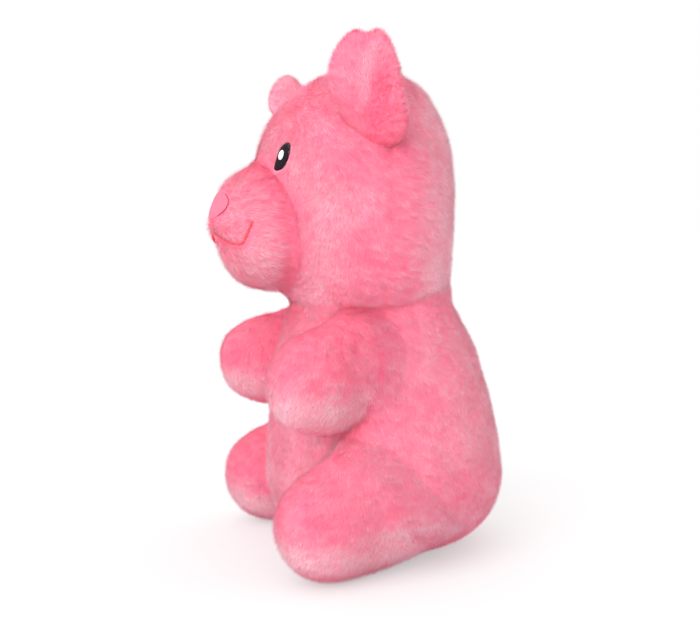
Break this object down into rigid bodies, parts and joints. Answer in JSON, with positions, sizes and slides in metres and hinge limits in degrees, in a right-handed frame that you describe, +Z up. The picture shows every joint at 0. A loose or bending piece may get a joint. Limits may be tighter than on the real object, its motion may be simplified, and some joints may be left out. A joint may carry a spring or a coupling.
{
  "type": "plush toy bear",
  "caption": "Seated plush bear toy for a dog: stuffed pile-fabric body, head, ears and stubby limbs, embroidered face, squeaker in the belly, flexing at its sewn joints",
  "frame": {"origin": "middle of the flat seat, on the floor", "axes": "+Z up, the bear faces -Y, its left is +X"},
  "size_m": [0.1558, 0.1408, 0.2309],
  "materials": {
    "pile_fabric": "short soft pile",
    "fibre_filling": "loose fibre",
    "eye_thread": "satin stitch",
    "white_thread": "satin stitch",
    "nose_thread": "satin stitch",
    "mouth_thread": "satin stitch",
    "bulb_plastic": "blow-moulded, slightly cloudy",
    "reed_plastic": "moulded"
  },
  "bodies": {
    "torso": {"body_left_cover": "pile_fabric", "body_right_cover": "pile_fabric", "seat_panel": "pile_fabric", "body_filling": "fibre_filling", "squeaker_bulb": "bulb_plastic", "squeaker_reed": "reed_plastic"},
    "head": {"face_cover": "pile_fabric", "head_back_cover": "pile_fabric", "muzzle_cover": "pile_fabric", "head_filling": "fibre_filling", "left_eye": "eye_thread", "left_eye_glint": "white_thread", "right_eye": "eye_thread", "right_eye_glint": "white_thread", "nose_patch": "nose_thread", "mouth_stitching": "mouth_thread"},
    "left_ear": {"left_ear_front": "pile_fabric", "left_ear_back": "pile_fabric"},
    "left_arm": {"left_arm_cover": "pile_fabric", "left_arm_filling": "fibre_filling"},
    "left_leg": {"left_leg_cover": "pile_fabric", "left_leg_filling": "fibre_filling"},
    "right_ear": {"right_ear_front": "pile_fabric", "right_ear_back": "pile_fabric"},
    "right_arm": {"right_arm_cover": "pile_fabric", "right_arm_filling": "fibre_filling"},
    "right_leg": {"right_leg_cover": "pile_fabric", "right_leg_filling": "fibre_filling"}
  },
  "joints": [
    {"name": "head_nod", "type": "hinge", "parent": "torso", "child": "head", "pos_m": [0, -0.008, 0.0985], "axis": [1, 0, 0], "range_deg": [-8, 8], "stiffness_Nm_per_rad": 1.5},
    {"name": "left_ear_fold", "type": "hinge", "parent": "head", "child": "left_ear", "pos_m": [0.04726, -0.0255, 0.192], "axis": [0.6243, 0.7071, -0.332], "range_deg": [-12, 12], "stiffness_Nm_per_rad": 0.12},
    {"name": "left_arm_swing", "type": "hinge", "parent": "torso", "child": "left_arm", "pos_m": [0.04362, -0.016, 0.089], "axis": [-1, 0, 0], "range_deg": [-4, 16], "stiffness_Nm_per_rad": 0.4},
    {"name": "left_leg_splay", "type": "hinge", "parent": "torso", "child": "left_leg", "pos_m": [0.04948, -0.016, 0.025], "axis": [0, 0, 1], "range_deg": [-4, 14], "stiffness_Nm_per_rad": 0.4},
    {"name": "right_ear_fold", "type": "hinge", "parent": "head", "child": "right_ear", "pos_m": [-0.04726, -0.0255, 0.192], "axis": [0.6243, -0.7071, 0.332], "range_deg": [-12, 12], "stiffness_Nm_per_rad": 0.12},
    {"name": "right_arm_swing", "type": "hinge", "parent": "torso", "child": "right_arm", "pos_m": [-0.04362, -0.016, 0.089], "axis": [-1, 0, 0], "range_deg": [-4, 16], "stiffness_Nm_per_rad": 0.4},
    {"name": "right_leg_splay", "type": "hinge", "parent": "torso", "child": "right_leg", "pos_m": [-0.04948, -0.016, 0.025], "axis": [0, 0, -1], "range_deg": [-4, 14], "stiffness_Nm_per_rad": 0.4}
  ]
}
